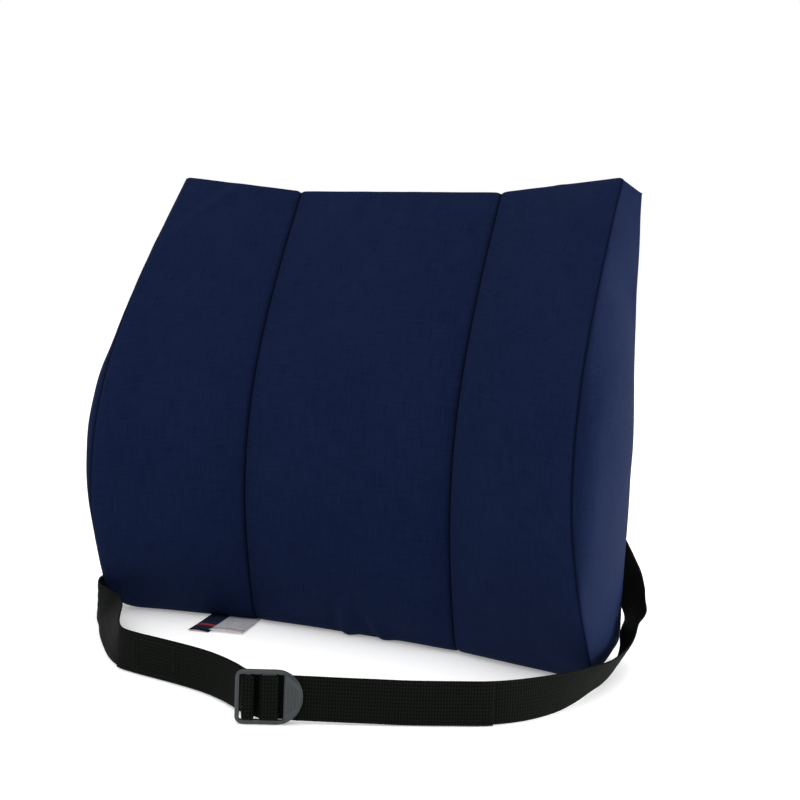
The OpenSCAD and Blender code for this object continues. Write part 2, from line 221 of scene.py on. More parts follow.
@dataclass(frozen=True)
class ClothFinish:
    """Plain-woven poly-cotton, with slubs, a little sheen and painted shade darkening the seams."""

    name: str
    colour: tuple
    worn: tuple
    thread: float = 0.62 * MM
    roughness: float = 0.82
    sheen: float = 0.02

    def make(self) -> bpy.types.Material:
        """Builds the material; it reads each piece's UV map in metres and its seam weight, which paints
        shade into the seam grooves.

        Returns:
            The material.
        """
        s = NodeSheet(self.name)
        uv = s.add("ShaderNodeUVMap", uv_map="cut").outputs[0]
        place = s.add("ShaderNodeTexCoord").outputs["Object"]
        across = s.scaled(uv, (1 / self.thread, 1 / self.thread, 1))
        parts = s.add("ShaderNodeSeparateXYZ")
        s.join(across, parts.inputs[0])
        warp = s.math("SINE", s.math("MULTIPLY", parts.outputs[0], math.tau))
        weft = s.math("SINE", s.math("MULTIPLY", parts.outputs[1], math.tau))
        weave = s.math("MULTIPLY", warp, weft)
        slub_a = s.noise(s.scaled(uv, (900, 60, 1)), 1.0, 2.0)
        slub_b = s.noise(s.scaled(uv, (60, 900, 1)), 1.0, 2.0)
        slubs = s.math("ADD", slub_a, slub_b)
        patches = s.ramp(s.noise(place, 16.0, 3.0), 0.35, 0.7)
        cloth = s.blend(s.math("MULTIPLY", patches, 0.35), self.colour, self.worn)
        grain = s.math("MULTIPLY", s.math("SUBTRACT", slubs, 1.0), 1.1)
        grain = s.math("ADD", grain, s.math("MULTIPLY", weave, 0.1))
        cloth = s.blend(s.ramp(grain, 0.05, 0.55), cloth, self.worn)
        dark = tuple(0.55 * c for c in self.colour)
        cloth = s.blend(s.ramp(grain, -0.05, -0.55), cloth, dark)
        # painted shade: along the seams the cloth darkens towards a fifth of its colour, for the shade in
        # the seam grooves
        seam = s.add("ShaderNodeAttribute", attribute_name="seam").outputs["Fac"]
        crease = tuple(0.22 * c for c in self.colour)
        s.join(s.blend(seam, cloth, crease), s.shader.inputs["Base Color"])
        height = s.math("ADD", s.math("MULTIPLY", weave, 0.5), s.math("MULTIPLY", slubs, 1.3))
        s.bump(height, 0.16 * MM, 0.55)
        s.set(
            Roughness=self.roughness,
            Specular_IOR_Level=0.03,
            Sheen_Weight=self.sheen,
            Sheen_Roughness=0.45,
            Sheen_Tint=(0.35, 0.5, 1.0, 1.0),
        )
        return s.material


@dataclass(frozen=True)
class WebbingFinish:
    """Black polypropylene webbing with its ribs across and rows along, with a painted highlight on the
    raised ribs and rows.
    """

    name: str
    colour: tuple
    # light: the colour of the painted highlight on the raised ribs and rows
    light: tuple
    rib: float = 1.7 * MM
    row: float = 2.1 * MM

    def make(self) -> bpy.types.Material:
        """Builds the material; it reads each piece's UV map in metres.

        Returns:
            The material.
        """
        s = NodeSheet(self.name)
        uv = s.add("ShaderNodeUVMap", uv_map="cut").outputs[0]
        parts = s.add("ShaderNodeSeparateXYZ")
        s.join(uv, parts.inputs[0])
        along = s.math("MULTIPLY", parts.outputs[1], math.tau / self.rib)
        rows = s.math("MULTIPLY", parts.outputs[0], math.tau / self.row)
        zigzag = s.math("MULTIPLY", s.math("SINE", rows), 1.2)
        ribs = s.math("SINE", s.math("ADD", along, zigzag))
        lines = s.math("ABSOLUTE", s.math("SINE", s.math("MULTIPLY", rows, 0.5)))
        fuzz = s.noise(uv, 2500.0, 3.0)
        relief = s.math("ADD", ribs, s.math("MULTIPLY", lines, 1.2))
        relief = s.math("ADD", relief, s.math("MULTIPLY", fuzz, 0.7))
        # painted highlight: the colour turns lighter where the rib and row relief is highest
        painted_rib_highlight = s.ramp(relief, 0.1, 2.6)
        s.join(s.blend(painted_rib_highlight, self.colour, self.light), s.shader.inputs["Base Color"])
        s.bump(relief, 0.22 * MM, 0.8)
        s.set(Roughness=0.7, Specular_IOR_Level=0.02)
        return s.material


@dataclass(frozen=True)
class ThreadFinish:
    """Twisted sewing thread."""

    name: str
    colour: tuple

    def make(self) -> bpy.types.Material:
        """Builds the material with a twist along each thread.

        Returns:
            The material.
        """
        s = NodeSheet(self.name)
        place = s.add("ShaderNodeTexCoord").outputs["Object"]
        twist = s.noise(s.scaled(place, (900, 900, 2500)), 1.0, 1.0)
        light = tuple(2.0 * c for c in self.colour)
        s.join(s.blend(twist, self.colour, light), s.shader.inputs["Base Color"])
        s.bump(twist, 0.1 * MM, 0.6)
        s.set(Roughness=0.6, Specular_IOR_Level=0.1, Sheen_Weight=0.01)
        return s.material


@dataclass(frozen=True)
class PlasticFinish:
    """Moulded acetal, with fine spark texture and scuffs."""

    name: str
    colour: tuple
    roughness: float = 0.38

    def make(self) -> bpy.types.Material:
        """Builds the material with mottled roughness and a fine bump.

        Returns:
            The material.
        """
        s = NodeSheet(self.name)
        place = s.add("ShaderNodeTexCoord").outputs["Object"]
        grain = s.noise(place, 3200.0, 2.0)
        scuffs = s.ramp(s.noise(s.scaled(place, (90, 90, 400)), 1.0, 4.0), 0.55, 0.75)
        light = tuple(1.5 * c + 0.01 for c in self.colour)
        tone = s.blend(s.math("MULTIPLY", scuffs, 0.5), self.colour, light)
        s.join(tone, s.shader.inputs["Base Color"])
        rough = s.math("ADD", s.math("MULTIPLY", scuffs, 0.15), self.roughness)
        s.join(rough, s.shader.inputs["Roughness"])
        s.bump(grain, 0.05 * MM, 0.35)
        s.set(Specular_IOR_Level=0.5)
        return s.material


@dataclass(frozen=True)
class MetalFinish:
    """Painted zip metal with brighter worn spots."""

    name: str
    colour: tuple
    metallic: float = 0.9
    roughness: float = 0.35

    def make(self) -> bpy.types.Material:
        """Builds the material with rubbed patches.

        Returns:
            The material.
        """
        s = NodeSheet(self.name)
        place = s.add("ShaderNodeTexCoord").outputs["Object"]
        rub = s.ramp(s.noise(place, 700.0, 4.0), 0.5, 0.75)
        light = tuple(min(1.0, 2.2 * c) for c in self.colour)
        s.join(s.blend(rub, self.colour, light), s.shader.inputs["Base Color"])
        s.join(s.math("ADD", s.math("MULTIPLY", rub, 0.2), self.roughness), s.shader.inputs["Roughness"])
        s.bump(s.noise(place, 2600.0, 2.0), 0.04 * MM, 0.3)
        s.set(Metallic=self.metallic)
        return s.material


@dataclass(frozen=True)
class FloorFinish:
    """Seamless white studio paper."""

    name: str = "studio_paper"

    def make(self) -> bpy.types.Material:
        """Builds the material with a faint fibre.

        Returns:
            The material.
        """
        s = NodeSheet(self.name)
        place = s.add("ShaderNodeTexCoord").outputs["Object"]
        s.bump(s.noise(place, 400.0, 2.0), 0.02 * MM, 0.1)
        s.set(Base_Color=(0.96, 0.96, 0.96, 1.0), Roughness=0.9, Specular_IOR_Level=0.1)
        s.set(Emission_Color=(1.0, 1.0, 1.0, 1.0), Emission_Strength=0.25)
        return s.material


class Finish(Enum):
    """The finishes of this cushion, by the part they are on."""

    COVER = ClothFinish("cover_cloth", (0.0036, 0.0080, 0.0300), (0.0056, 0.0120, 0.0400))
    TAPE = ClothFinish("zip_tape_cloth", (0.008, 0.011, 0.024), (0.014, 0.018, 0.034), 0.5 * MM)
    LABEL = ClothFinish("label_cloth", (0.012, 0.017, 0.04), (0.02, 0.026, 0.055), 0.45 * MM)
    LABEL_EDGE = ClothFinish("label_border", (0.006, 0.006, 0.007), (0.012, 0.012, 0.013), 0.45 * MM)
    LABEL_STRIPE = ClothFinish("label_stripe", (0.32, 0.03, 0.03), (0.42, 0.06, 0.05), 0.45 * MM)
    CARE = ClothFinish("care_satin", (0.5, 0.5, 0.52), (0.7, 0.7, 0.71), 0.4 * MM, 0.4, 0.1)
    FOAM = ClothFinish("foam_block", (0.75, 0.66, 0.42), (0.85, 0.78, 0.55), 1.4 * MM, 0.9, 0.0)
    # the webbing's second colour is the painted highlight on its raised ribs and rows
    WEBBING = WebbingFinish("webbing", (0.0014, 0.0018, 0.0014), (0.0080, 0.0095, 0.0080))
    THREAD = ThreadFinish("black_thread", (0.0012, 0.0012, 0.0014))
    BUCKLE = PlasticFinish("buckle_plastic", (0.011, 0.017, 0.019))
    TEETH = PlasticFinish("zip_teeth_plastic", (0.012, 0.015, 0.026))
    METAL = MetalFinish("zip_metal", (0.12, 0.125, 0.13))


class Wardrobe:
    """Makes each finish once and puts it on pieces."""

    def __init__(self) -> None:
        """Starts with nothing made."""
        self.made: dict = {}

    def material(self, finish: Finish) -> bpy.types.Material:
        """The finish's material, made the first time it is asked for.

        Args:
            finish: the finish.

        Returns:
            Its material, made once.
        """
        if finish not in self.made:
            self.made[finish] = finish.value.make()
        return self.made[finish]

    def dress(self, piece: bpy.types.Object, *finishes: Finish) -> bpy.types.Object:
        """Gives a piece its finishes, in the order of its material slots.

        Args:
            piece: the object.
            finishes: its finishes, in slot order.

        Returns:
            The same object.
        """
        piece.data.materials.clear()
        for finish in finishes:
            piece.data.materials.append(self.material(finish))
        return piece


# ---------------------------------------------------------------- mesh work


class Cutting:
    """Ways to cut and lay out meshes."""

    @staticmethod
    def mesh(name: str, points: np.ndarray, faces: list, uvs: np.ndarray = None) -> bpy.types.Object:
        """Makes a smooth-shaded object.

        Args:
            name: the piece's name.
            points: its vertices, in metres.
            faces: lists of vertex numbers.
            uvs: one (u, v) in metres for each vertex.

        Returns:
            The object.
        """
        data = bpy.data.meshes.new(name)
        data.from_pydata([tuple(p) for p in np.asarray(points, float)], [], faces)
        data.polygons.foreach_set("use_smooth", [True] * len(data.polygons))
        if uvs is not None:
            layer = data.uv_layers.new(name="cut")
            corners = np.zeros(len(data.loops), np.int32)
            data.loops.foreach_get("vertex_index", corners)
            layer.data.foreach_set("uv", np.asarray(uvs, np.float32)[corners].ravel())
        data.update()
        piece = bpy.data.objects.new(name, data)
        bpy.context.scene.collection.objects.link(piece)
        return piece

    @staticmethod
    def grid_faces(n: int, m: int, flip: bool = False) -> list:
        """Quads of an n by m grid of points, numbered column by column.

        Args:
            n: how many columns.
            m: how many points in a column.
            flip: whether to turn the quads over.

        Returns:
            The quads, as tuples of point numbers.
        """
        quads = [
            (i * m + j, (i + 1) * m + j, (i + 1) * m + j + 1, i * m + j + 1)
            for i in range(n - 1)
            for j in range(m - 1)
        ]
        return [q[::-1] for q in quads] if flip else quads

    @staticmethod
    def tube(name: str, path: np.ndarray, radius: float, sides: int = 6) -> bpy.types.Object:
        """A closed round tube along a path.

        Args:
            name: the piece's name.
            path: points in metres.
            radius: the tube's radius.
            sides: how many sides it has.

        Returns:
            The object.
        """
        path = np.asarray(path, float)
        travel = np.gradient(path, axis=0)
        travel /= np.linalg.norm(travel, axis=1)[:, None] + 1e-12
        up = np.array([0.0, 0.0, 1.0]) if abs(travel[0][2]) < 0.9 else np.array([1.0, 0.0, 0.0])
        points = []
        for p, t in zip(path, travel):
            side = np.cross(t, up)
            side /= np.linalg.norm(side) + 1e-12
            up = np.cross(side, t)
            for k in range(sides):
                angle = math.tau * k / sides
                points.append(p + radius * (side * math.cos(angle) + up * math.sin(angle)))
        n = len(path)
        faces = [
            (
                i * sides + k,
                i * sides + (k + 1) % sides,
                (i + 1) * sides + (k + 1) % sides,
                (i + 1) * sides + k,
            )
            for i in range(n - 1)
            for k in range(sides)
        ]
        faces.append(tuple(range(sides))[::-1])
        faces.append(tuple((n - 1) * sides + k for k in range(sides)))
        return Cutting.mesh(name, np.array(points), faces)

    @staticmethod
    def join(name: str, pieces: list) -> bpy.types.Object:
        """Joins pieces into one object of that name.

        Args:
            name: the new piece's name.
            pieces: the objects to join.

        Returns:
            The joined object.
        """
        points, faces, start = [], [], 0
        for piece in pieces:
            points += [tuple(v.co) for v in piece.data.vertices]
            faces += [tuple(start + i for i in p.vertices) for p in piece.data.polygons]
            start += len(piece.data.vertices)
            data = piece.data
            bpy.data.objects.remove(piece)
            bpy.data.meshes.remove(data)
        return Cutting.mesh(name, np.array(points), faces)

    @staticmethod
    def flat_part(name: str, loops: list, thickness: float, bevel: float) -> bpy.types.Object:
        """A flat moulded part with holes and rounded edges, drawn in X and Y, with its middle at Z = 0.

        Args:
            name: the part's name.
            loops: closed outlines; those inside others are holes.
            thickness: its full thickness.
            bevel: the radius of its edges.

        Returns:
            The object.
        """
        curve = bpy.data.curves.new(name, "CURVE")
        curve.dimensions = "2D"
        curve.fill_mode = "BOTH"
        curve.extrude = thickness / 2 - bevel
        curve.bevel_depth = bevel
        curve.bevel_resolution = 3
        curve.offset = -bevel
        for loop in loops:
            spline = curve.splines.new("POLY")
            spline.points.add(len(loop) - 1)
            for point, (x, y) in zip(spline.points, loop):
                point.co = (x, y, 0, 1)
            spline.use_cyclic_u = True
        holder = bpy.data.objects.new(name, curve)
        bpy.context.scene.collection.objects.link(holder)
        bpy.context.view_layer.update()
        data = bpy.data.meshes.new_from_object(holder.evaluated_get(bpy.context.evaluated_depsgraph_get()))
        bpy.data.objects.remove(holder)
        piece = bpy.data.objects.new(name, data)
        bpy.context.scene.collection.objects.link(piece)
        return piece

    @staticmethod
    def curve_at(points: np.ndarray, s: np.ndarray) -> np.ndarray:
        """Places on a smooth curve through points along the first axis.

        Args:
            points: an array whose first axis runs along the curve.
            s: where, counted in points.

        Returns:
            The places, in the shape of points with len(s) first.
        """
        points = np.asarray(points, float)
        last = len(points) - 1
        i = np.minimum(np.floor(s).astype(int), last - 1)
        t = (s - i).reshape((-1,) + (1,) * (points.ndim - 1))
        a = points[np.maximum(i - 1, 0)]
        b, c = points[i], points[i + 1]
        d = points[np.minimum(i + 2, last)]
        return 0.5 * (
            2 * b + (c - a) * t + (2 * a - 5 * b + 4 * c - d) * t**2 + (3 * b - 3 * c + d - a) * t**3
        )


# ---------------------------------------------------------------- studio


@dataclass
class Studio:
    """Camera, lights and paper floor."""

    camera_place: tuple = (0.4387, -0.8655, 0.2488)
    azimuth: float = 25.76
    elevation: float = 4.84
    roll: float = 2.13
    lens: float = 62.4

    def set_camera(self) -> None:
        """Puts the camera in place and makes it the scene's."""
        a, e, r = (math.radians(v) for v in (self.azimuth, self.elevation, self.roll))
        back = Vector((math.sin(a) * math.cos(e), -math.cos(a) * math.cos(e), math.sin(e)))
        right = Vector((math.cos(a), math.sin(a), 0.0))
        up = back.cross(right)
        x = right * math.cos(r) + up * math.sin(r)
        y = up * math.cos(r) - right * math.sin(r)
        data = bpy.data.cameras.new("camera")
        data.lens = self.lens
        data.sensor_width = 36.0
        camera = bpy.data.objects.new("camera", data)
        turn = Matrix((x, y, back)).transposed().to_4x4()
        camera.matrix_world = Matrix.Translation(Vector(self.camera_place)) @ turn
        bpy.context.scene.collection.objects.link(camera)
        bpy.context.scene.camera = camera

    def add_lamp(self, name: str, place: tuple, target: tuple, size: float, power: float) -> None:
        """Hangs a square soft lamp that points at a target.

        Args:
            name: the lamp's name.
            place: where it hangs, in metres.
            target: what it points at.
            size: its side, in metres.
            power: its power, in watts.
        """
        data = bpy.data.lights.new(name, "AREA")
        data.size = size
        data.energy = power
        lamp = bpy.data.objects.new(name, data)
        lamp.location = place
        lamp.rotation_euler = (Vector(target) - Vector(place)).to_track_quat("-Z", "Y").to_euler()
        bpy.context.scene.collection.objects.link(lamp)

    def light(self) -> None:
        """Sets the white surround and three soft lamps."""
        world = bpy.data.worlds.new("surround")
        world.use_nodes = True
        world.node_tree.nodes["Background"].inputs[0].default_value = (1, 1, 1, 1)
        world.node_tree.nodes["Background"].inputs[1].default_value = 1.0
        bpy.context.scene.world = world
        bpy.context.scene.view_settings.view_transform = "Standard"
        self.add_lamp("side_lamp", (0.72, 0.20, 0.04), (0.18, 0, 0.0), 0.3, 6.5)
        self.add_lamp("front_lamp", (0.5, -2.0, 1.5), (0, 0, 0.16), 1.6, 14.0)
        self.add_lamp("top_lamp", (0.1, -0.3, 2.2), (0, 0, 0.1), 1.6, 10.0)

    def lay_floor(self) -> None:
        """Lays the paper floor under the object."""
        n = 9
        line = np.linspace(-8.0, 8.0, n)
        x, y = np.meshgrid(line, line, indexing="ij")
        points = np.stack([x, y, np.zeros_like(x)], -1).reshape(-1, 3)
        floor = Cutting.mesh("studio_floor", points, Cutting.grid_faces(n, n))
        floor.location.z = CAD_BOUNDS[0][2] - 0.2 * MM
        floor.data.materials.append(FloorFinish().make())


# ---------------------------------------------------------------- strap


@dataclass
class BuckleSizes:
    """Where the ladder buckle is, and its sizes, in millimetres."""

    middle: tuple = (49.0, -212.0, 15.5)
    turn: float = 28.0
    length: float = 38.0
    height: float = 31.0
    thick: float = 3.0
    corner: float = 4.5
    bow: float = 15.0
    bars: tuple = ((-13.5, -10.1), (-3.6, 3.7))
    first_slot: float = -16.6
    grip: float = 8.1
    slot_height: float = 25.9

    def place(self, along: float, up: float, out: float) -> np.ndarray:
        """A point given along the buckle, up it and out towards the front, in millimetres of the frame."""
        c, s = math.cos(math.radians(self.turn)), math.sin(math.radians(self.turn))
        return np.array(self.middle) + np.array([along * c + out * s, along * s - out * c, up])

    def matrix(self) -> Matrix:
        """Turns a part drawn in X and Y, in metres, into place on the strap.

        Returns:
            The placing matrix.
        """
        c, s = math.cos(math.radians(self.turn)), math.sin(math.radians(self.turn))
        turn = Matrix(((c, 0, s), (s, 0, -c), (0, 1, 0))).to_4x4()
        return Matrix.Translation(Vector(self.middle) * MM) @ turn


@dataclass
class StrapLoop:
    """The two runs of webbing from the back anchors to the buckle."""

    wardrobe: Wardrobe
    buckle: BuckleSizes
    width: float = 25.4
    thick: float = 1.6
    layer: float = 1.9
    body: str = "strap_loop"
    adjuster: str = "strap_adjuster"
    right_route: tuple = (
        ((43.5, -210, 14.4), (0, 0, 1)), ((60.1, -201, 14.2), (0, 0, 1)), ((80, -190.8, 13.8), (0, 0, 1)),
        ((98, -181.4, 13.5), (0, 0, 1)), ((117, -170.8, 13), (0, 0, 1)), ((137, -159, 13), (0, 0, 1)),
        ((157, -146, 13), (0, 0, 1)), ((172, -128.5, 13.1), (0.05, 0, 1)),
        ((183, -105, 12.9), (0.2, 0, 0.97)),
        ((189, -80, 12.5), (0.38, 0, 0.92)), ((191.5, -58, 12), (0.5, 0, 0.86)),
        ((192.5, -36, 12), (0.5, -0.05, 0.84)), ((192, -14, 13.5), (0.5, -0.2, 0.8)),
        ((190.5, 3, 17.5), (0.5, -0.5, 0.6)), ((188.5, 17, 24.5), (0.5, -0.8, 0.2)),
        ((187.2, 31, 33), (0.6, -0.8, -0.05)), ((182.5, 38.8, 43), (0.85, -0.5, -0.05)),
        ((176, 42, 54), (0.98, -0.1, 0)), ((169, 42.5, 66), (1, 0, 0.05)), ((162, 42.3, 78.5), (1, 0, 0.02)),
        ((160.1, 39.8, 87), (1, 0, 0)), ((160, 38.4, 91.2), (1, 0, 0)),
    )
    left_route: tuple = (
        ((42.7, -211, 14.4), (0, 0, -1)), ((29, -204.8, 14.2), (0, 0, -1)), ((16, -196, 13.8), (0, 0, -1)),
        ((1, -187.6, 13.4), (0, 0, -1)), ((-15, -181.2, 13.2), (0, 0, -1)), ((-34, -176.4, 13), (0, 0, -1)),
        ((-54, -173, 13), (0, 0, -1)), ((-72, -170.2, 13), (0, 0, -1)),
        ((-88, -165.4, 13), (-0.03, -0.03, -1)), ((-103, -153, 13), (-0.15, -0.15, -0.97)),
        ((-120, -133.5, 13), (-0.3, -0.28, -0.9)), ((-137, -112.5, 12.6), (-0.45, -0.35, -0.8)),
        ((-153, -93, 12.4), (-0.48, -0.33, -0.8)), ((-167, -82.5, 12.8), (-0.25, -0.15, -0.95)),
        ((-180, -71, 13), (0, 0, -1)), ((-192, -48, 13.2), (0.12, 0.05, -1)),
        ((-192.5, -20, 14.5), (0.1, 0, -1)), ((-192.5, 6, 17.5), (0.25, 0, -0.95)),
        ((-191.5, 28, 25), (0.55, -0.2, -0.7)), ((-186, 40.4, 36), (0.95, 0.15, -0.5)),
        ((-177, 42, 50), (1, 0.03, -0.4)), ((-169, 42.5, 64), (1, 0, -0.1)),
        ((-162, 42.3, 78), (1, 0, -0.02)),
        ((-160.1, 39.8, 87), (1, 0, 0)), ((-160, 38.4, 91.2), (1, 0, 0)),
    )
    fold_end: float = 8.0
    tail_end: float = 6.0

    def smooth(self, route: tuple, first: float, last: float, per_point: int = 6) -> tuple:
        """Places and width directions along part of a route.

        Args:
            route: pairs of point and width direction.
            first: where it starts, counted in points.
            last: where it ends.
            per_point: how many places for each point.

        Returns:
            Two arrays, the places and the width directions.
        """
        count = max(2, int(round((last - first) * per_point)) + 1)
        s = np.linspace(first, last, count)
        points = Cutting.curve_at(np.array([p for p, _ in route], float), s)
        widths = Cutting.curve_at(np.array([w for _, w in route], float), s)
        return points, widths

    def frames(self, points: np.ndarray, widths: np.ndarray) -> tuple:
        """Unit width and outward directions along a path.

        Args:
            points: the path.
            widths: the width direction at each point.

        Returns:
            Two arrays, the unit width and the unit outward directions.
        """
        travel = np.gradient(points, axis=0)
        travel /= np.linalg.norm(travel, axis=1)[:, None]
        across = widths - (widths * travel).sum(1)[:, None] * travel
        across /= np.linalg.norm(across, axis=1)[:, None]
        return across, np.cross(travel, across)

    def lifted(self, points: np.ndarray, widths: np.ndarray, lift: float) -> np.ndarray:
        """The path moved out by lift millimetres."""
        return points + self.frames(points, widths)[1] * lift

    def band(self, name: str, points: np.ndarray, widths: np.ndarray) -> tuple:
        """Sweeps the webbing's rounded section along a path.

        Args:
            name: the piece's name.
            points: the middle of the webbing, in millimetres.
            widths: the direction of its width at each point.

        Returns:
            The object and the ring centres, in metres.
        """
        across, out = self.frames(points, widths)
        half, t = self.width / 2, self.thick / 2
        flat = np.linspace(-half + 0.9, half - 0.9, 9)
        section = [(x, t * (1 - 0.12 * math.cos(x * 1.1))) for x in flat]
        section += [(half - 0.25, 0.55 * t), (half, 0.0), (half - 0.25, -0.55 * t)]
        section += [(x, -t * (1 - 0.12 * math.cos(x * 1.1))) for x in flat[::-1]]
        section += [(-half + 0.25, -0.55 * t), (-half, 0.0), (-half + 0.25, 0.55 * t)]
        section = np.array(section)
        rings = points[:, None, :] + across[:, None, :] * section[None, :, :1]
        rings = rings + out[:, None, :] * section[None, :, 1:]
        n, m = len(points), len(section)
        faces = [
            (i * m + k, (i + 1) * m + k, (i + 1) * m + (k + 1) % m, i * m + (k + 1) % m)
            for i in range(n - 1)
            for k in range(m)
        ]
        faces.append(tuple(range(m)))
        faces.append(tuple((n - 1) * m + k for k in range(m))[::-1])
        run = np.concatenate([[0], np.cumsum(np.linalg.norm(np.diff(points, axis=0), axis=1))])
        uvs = np.stack(np.broadcast_arrays(section[None, :, 0], run[:, None]), -1).reshape(-1, 2)
        piece = Cutting.mesh(name, rings.reshape(-1, 3) * MM, faces, uvs * MM)
        piece.data.validate()
        return piece, points * MM

    def over_bar(self, bar: tuple, rows: tuple) -> np.ndarray:
        """The path of webbing up one side of a bar, over its front and down the other side.

        Args:
            bar: where the bar starts and ends along the buckle.
            rows: how far out each end of the path stops.

        Returns:
            The path, in millimetres.
        """
        reach = self.buckle.thick / 2 + 0.3 + self.thick / 2
        left, right = bar[0] - 1.1, bar[1] + 1.1
        steps = [
            (left, rows[0]), (left, -0.8), (left, 0.5), (left + 0.35, reach - 0.6), (left + 1.1, reach),
            ((left + right) / 2, reach + 0.12),
            (right - 1.1, reach), (right - 0.35, reach - 0.6), (right, 0.5), (right, -0.8), (right, rows[1]),
        ]
        return np.array([self.buckle.place(along, 0.0, out) for along, out in steps])

    def build(self) -> None:
        down, up = (0.0, 0.0, -1.0), (0.0, 0.0, 1.0)
        whole_left = self.smooth(self.left_route, 0, len(self.left_route) - 1)
        whole_right = self.smooth(self.right_route, 0, len(self.right_route) - 1)
        left, left_path = self.band("strap_left_run", *whole_left)
        right, right_path = self.band("strap_right_run", *whole_right)
        turned = self.over_bar(self.buckle.bars[0], (-2.4, -3.2))
        fold = self.end_piece("strap_left_turned_end", self.left_route, self.fold_end, turned, down)
        wrap = self.over_bar(self.buckle.bars[1], (-3.6, -2.4))[::-1]
        tail = self.end_piece("strap_right_free_end", self.right_route, self.tail_end, wrap, up)
        threads = self.stitch_fold()
        stands_for = {
            "strap_left": left,
            "strap_right": right,
            "strap_left_fold": fold,
            "strap_right_tail": tail,
        }
        for nodes, piece in stands_for.items():
            self.wardrobe.dress(piece, Finish.WEBBING)
            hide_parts(nodes)
        self.wardrobe.dress(threads, Finish.THREAD)
        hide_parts("fold_stitching")
        self.follow_buckle((left, fold, threads))
        self.follow_buckle((right, tail))
        log.info("strap: %d pieces", 5)

    def end_piece(
        self, name: str, route: tuple, end: float, wrap: np.ndarray, width: tuple
    ) -> bpy.types.Object:
        """The outer layer of a run: over its bar and along the outside to its cut end.

        Args:
            name: the piece's name.
            route: the run's route.
            end: where the end is cut, counted in points.
            wrap: the path over the bar.
            width: the width direction there.

        Returns:
            The piece.
        """
        points, widths = self.smooth(route, 1.0, end)
        outer = self.lifted(points, widths, self.layer)
        path = np.concatenate([wrap[::-1], outer])
        directions = np.concatenate([np.repeat([width], len(wrap), 0), widths])
        s = np.linspace(0, len(path) - 1, 2 * len(path))
        piece, _ = self.band(name, Cutting.curve_at(path, s), Cutting.curve_at(directions, s))
        return piece

    def follow_buckle(self, pieces: tuple) -> None:
        """Bakes each piece's placing into its own mesh.

        Args:
            pieces: the pieces to bake.
        """
        for piece in pieces:
            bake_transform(piece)

    def stitch_fold(self) -> bpy.types.Object:
        """Rows of thread that hold the turned end, drawn as a long box with a bar at each end.

        Returns:
            The rows, as one object.
        """
        rows = []
        points, widths = self.smooth(self.left_route, 5.1, 7.0, 14)
        outer = self.lifted(points, widths, self.layer + self.thick / 2 + 0.1)
        across, out = self.frames(points, widths)
        for share in (-0.78, 0.78):
            line = outer + across * self.width / 2 * share
            line = line + out * 0.18 * np.sin(np.arange(len(line)) * math.pi)[:, None]
            rows.append(Cutting.tube("row", line * MM, 0.2 * MM))
        for place in (0, 2, len(outer) - 3, len(outer) - 1):
            steps = np.linspace(-0.78, 0.78, 15)[:, None]
            line = outer[place] + across[place] * steps * self.width / 2
            rows.append(Cutting.tube("row", line * MM, 0.2 * MM))
        return Cutting.join("fold_threads", rows)


@dataclass
class LadderBuckle:
    """The one-piece ladder-lock buckle."""

    wardrobe: Wardrobe
    sizes: BuckleSizes
    body: str = "strap_adjuster"

    def outline(self) -> list:
        """The buckle's outline: a straight left side and a bowed right one.

        Returns:
            The outline's points, in metres.
        """
        z = self.sizes
        l, h, c = z.length / 2, z.height / 2, z.corner
        corners = [
            ((c - l, h - c), c, c, 90),
            ((c - l, c - h), c, c, 180),
            ((l - z.bow, 0), z.bow, h, 270),
            ((l - z.bow, 0), z.bow, h, 0),
        ]
        points = []
        for (x, y), rx, ry, start in corners:
            for i in range(13):
                angle = math.radians(start + 7.5 * i)
                points.append(((x + rx * math.cos(angle)) * MM, (y + ry * math.sin(angle)) * MM))
        return points

    def slot(self, x0: float, x1: float) -> list:
        """A slot with small rounded corners.

        Args:
            x0: its left side.
            x1: its right side.

        Returns:
            The slot's points, in metres.
        """
        r, h = 0.7, self.sizes.slot_height / 2
        points = []
        corners = ((x1 - r, h - r, 0), (x0 + r, h - r, 90), (x0 + r, r - h, 180), (x1 - r, r - h, 270))
        for x, y, start in corners:
            for i in range(5):
                angle = math.radians(start + 22.5 * i)
                points.append(((x + r * math.cos(angle)) * MM, (y + r * math.sin(angle)) * MM))
        return points

    def grip_outline(self) -> list:
        """The raised D-shaped grip on the right.

        Returns:
            The outline's points, in metres.
        """
        z = self.sizes
        h = z.height / 2 - 1.0
        points = []
        for i in range(25):
            angle = math.radians(-90 + 7.5 * i)
            x = z.length / 2 - z.bow + (z.bow - 1.0) * math.cos(angle)
            points.append((max(x, z.grip + 0.9) * MM, h * math.sin(angle) * MM))
        return points

    def build(self) -> None:
        """Makes the frame, the grip pad and its ridges as one piece."""
        z = self.sizes
        bars = z.bars
        slots = ((z.first_slot, bars[0][0]), (bars[0][1], bars[1][0]), (bars[1][1], z.grip))
        loops = [self.outline(), *(self.slot(x0, x1) for x0, x1 in slots)]
        plate = Cutting.flat_part("buckle_plate", loops, z.thick * MM, 0.55 * MM)
        pad = Cutting.flat_part("grip_pad", [self.grip_outline()], 1.7 * MM, 0.5 * MM)
        for vertex in pad.data.vertices:
            vertex.co.z += (z.thick / 2 + 0.15) * MM
        ridges = []
        for k in range(4):
            x = z.grip + 2.6 + 1.9 * k
            reach = 8.5 - 1.3 * k
            line = [(x * MM, y * MM, (z.thick / 2 + 0.95) * MM) for y in np.linspace(-reach, reach, 9)]
            ridges.append(Cutting.tube("ridge", np.array(line), 0.42 * MM, 8))
        piece = Cutting.join("ladder_buckle", [plate, pad, *ridges])
        piece.data.transform(z.matrix())
        self.wardrobe.dress(piece, Finish.BUCKLE)
        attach(piece, self.body)
        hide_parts("buckle")
        log.info("buckle: %d faces", len(piece.data.polygons))


# ---------------------------------------------------------------- cushion


